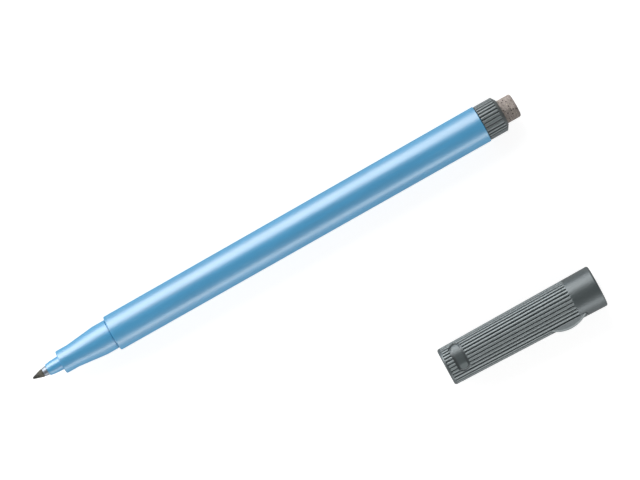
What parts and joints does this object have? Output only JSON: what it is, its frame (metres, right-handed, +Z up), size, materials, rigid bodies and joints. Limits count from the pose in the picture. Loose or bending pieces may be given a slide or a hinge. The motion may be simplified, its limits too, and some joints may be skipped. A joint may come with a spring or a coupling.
{
  "type": "erasable marker pen",
  "caption": "Slim round marker pen with a fibre nib and an eraser tip, lying uncapped beside its ribbed cap with a flexing clip.",
  "frame": {"origin": "on the table, under the middle of the space that the pen and its cap take together", "axes": "+X along the pen from the nib to the eraser, +Y away from the cap, +Z up from the table"},
  "size_m": [0.1388, 0.0604, 0.0111],
  "materials": {
    "blue_plastic": "pearly sky blue, satin",
    "grey_plastic": "dark grey, satin moulded",
    "pale_plastic": "natural, unpainted",
    "nib_sleeve_steel": "drawn tube",
    "nib_fibre": "bonded fibre wet with black ink",
    "inked_fibre": "ink-soaked fibre core",
    "clear_film": "clear film",
    "speckled_eraser": "brown-grey, speckled, matt"
  },
  "bodies": {
    "pen": {"barrel": "blue_plastic", "front_section": "blue_plastic", "nib_sleeve": "nib_sleeve_steel", "fibre_nib": "nib_fibre", "ink_reservoir": "inked_fibre", "reservoir_wrap": "clear_film", "rear_plug": "grey_plastic", "eraser": "speckled_eraser"},
    "cap": {"cap_shell": "grey_plastic", "inner_cap": "pale_plastic"},
    "clip": {"cap_clip": "grey_plastic"}
  },
  "joints": [
    {"name": "cap_slide", "type": "slide", "parent": "pen", "child": "cap", "axis": [-1, 0, 0], "range_m": [0, 0.0373]},
    {"name": "clip_flex", "type": "hinge", "parent": "cap", "child": "clip", "pos_m": [0.02878, -0.02807, 0.00505], "axis": [0.0139, -0.0003, -0.9999], "range_deg": [0, 5], "stiffness_Nm_per_rad": 0.2}
  ]
}
